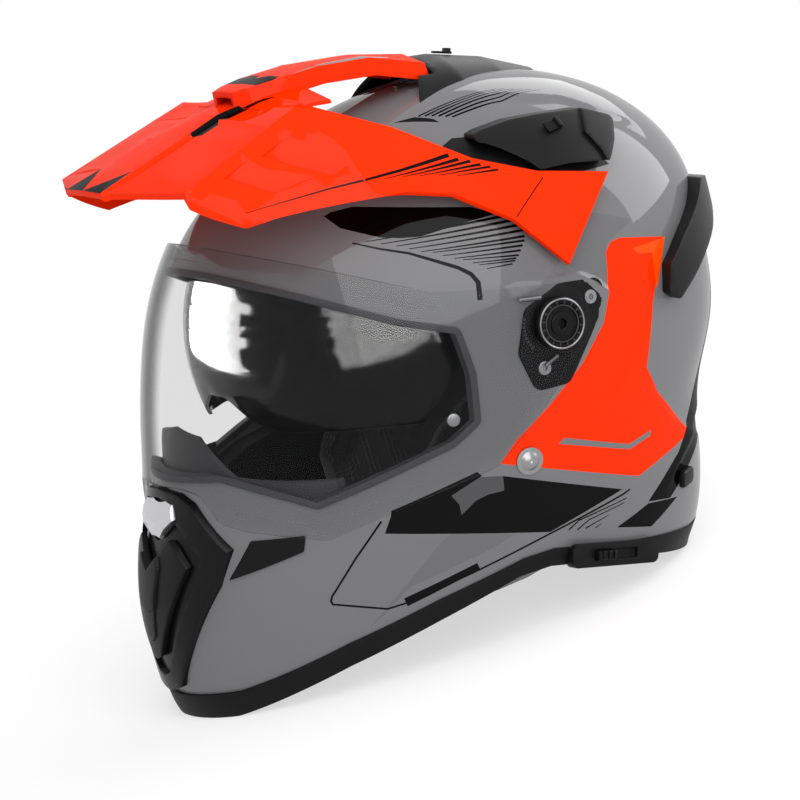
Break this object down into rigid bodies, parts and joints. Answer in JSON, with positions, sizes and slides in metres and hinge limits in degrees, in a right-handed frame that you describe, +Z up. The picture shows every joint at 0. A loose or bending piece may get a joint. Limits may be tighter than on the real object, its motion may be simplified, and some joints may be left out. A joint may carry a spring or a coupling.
{
  "type": "dual sport helmet",
  "caption": "Full face dual sport helmet with a long peak, clear hinged visor, drop-down sun visor, sliding vents, padded lining and a double ring chin strap.",
  "frame": {"origin": "on the mirror plane, below the axis that the visor turns on, in the plane that the chin and the rear rim rest on", "axes": "+Z up, -Y is where the face looks, +X is the wearer's left"},
  "size_m": [0.2678, 0.3732, 0.3154],
  "materials": {
    "shell_grey": "glossy lacquer",
    "rubber_black": "satin",
    "foam_black": "matte foam",
    "fabric_black": "knitted fabric",
    "clear_visor": "clear, hard coated",
    "smoke_visor": "dark smoke tint",
    "steel": "satin",
    "chrome": "polished",
    "peak_orange": "glossy lacquer",
    "plastic_black": "fine grain",
    "plastic_dark_grey": "satin",
    "silver_plastic": "metallic silver",
    "webbing": "woven webbing"
  },
  "bodies": {
    "helmet": {"outer_shell": "shell_grey", "lower_rim_trim": "rubber_black", "eyeport_gasket": "rubber_black", "eps_liner": "foam_black", "chin_bar_liner": "foam_black", "comfort_liner": "fabric_black", "neck_roll": "fabric_black", "chin_curtain": "fabric_black", "cheek_pad_left": "fabric_black", "cheek_pad_right": "fabric_black", "sun_visor_pins": "plastic_black", "base_plate_screws": "steel", "peak": "peak_orange", "peak_mounts": "rubber_black", "top_vent_cover": "plastic_black", "side_vent_cover_left": "plastic_black", "side_vent_cover_right": "plastic_black", "rear_vent_left": "plastic_black", "rear_vent_right": "plastic_black", "chin_vent_housing": "plastic_black", "chin_side_inlet_left": "plastic_black", "chin_side_inlet_right": "plastic_black", "breath_deflector": "plastic_dark_grey", "sun_visor_lever_housing": "plastic_black", "strap_rivets": "chrome", "strap_d_rings": "steel", "rear_studs": "plastic_black", "chin_strap_left": "webbing", "chin_strap_right": "webbing", "visor_base_plate_left": "plastic_black", "visor_base_plate_right": "plastic_black", "visor_pivot_cap_left": "plastic_dark_grey", "visor_pivot_cap_right": "plastic_dark_grey"},
    "visor": {"clear_visor": "clear_visor", "pinlock_pins": "steel"},
    "sun_shield": {"sun_visor": "smoke_visor"},
    "sun_lever": {"sun_visor_lever": "plastic_black"},
    "crown_slider": {"top_vent_slider": "plastic_black"},
    "shoulder_slider_left": {"side_vent_slider_left": "plastic_black"},
    "shoulder_slider_right": {"side_vent_slider_right": "plastic_black"},
    "chin_shutter": {"chin_vent_shutter": "plastic_dark_grey"},
    "lock_button": {"visor_lock_button": "silver_plastic"}
  },
  "joints": [
    {"name": "visor_pivot", "type": "hinge", "parent": "helmet", "child": "visor", "pos_m": [0, 0, 0.162], "axis": [-1, 0, 0], "range_deg": [0, 26]},
    {"name": "sun_visor_pivot", "type": "hinge", "parent": "helmet", "child": "sun_shield", "pos_m": [0, -0.04, 0.165], "axis": [-1, 0, 0], "range_deg": [0, 32]},
    {"name": "sun_visor_lever_slide", "type": "slide", "parent": "helmet", "child": "sun_lever", "axis": [-0.1288, 0.9402, -0.3152], "range_m": [0, 0.0162]},
    {"name": "top_vent_slide", "type": "slide", "parent": "helmet", "child": "crown_slider", "axis": [0, 0.9428, -0.3332], "range_m": [0, 0.008]},
    {"name": "side_vent_slide_left", "type": "slide", "parent": "helmet", "child": "shoulder_slider_left", "axis": [-0.213, 0.9771, 0], "range_m": [0, 0.006]},
    {"name": "side_vent_slide_right", "type": "slide", "parent": "helmet", "child": "shoulder_slider_right", "axis": [0.213, 0.9771, 0], "range_m": [0, 0.006]},
    {"name": "chin_vent_slide", "type": "slide", "parent": "helmet", "child": "chin_shutter", "axis": [0, -0.3, -0.9539], "range_m": [0, 0.004]},
    {"name": "visor_lock_press", "type": "slide", "parent": "helmet", "child": "lock_button", "axis": [0, 1, 0], "range_m": [0, 0.0025], "stiffness_N_per_m": 400, "springref_m": -0.002}
  ],
  "couplings": [
    {"joint": "sun_visor_lever_slide", "follows": "sun_visor_pivot", "m_per_rad": 0.028648}
  ]
}
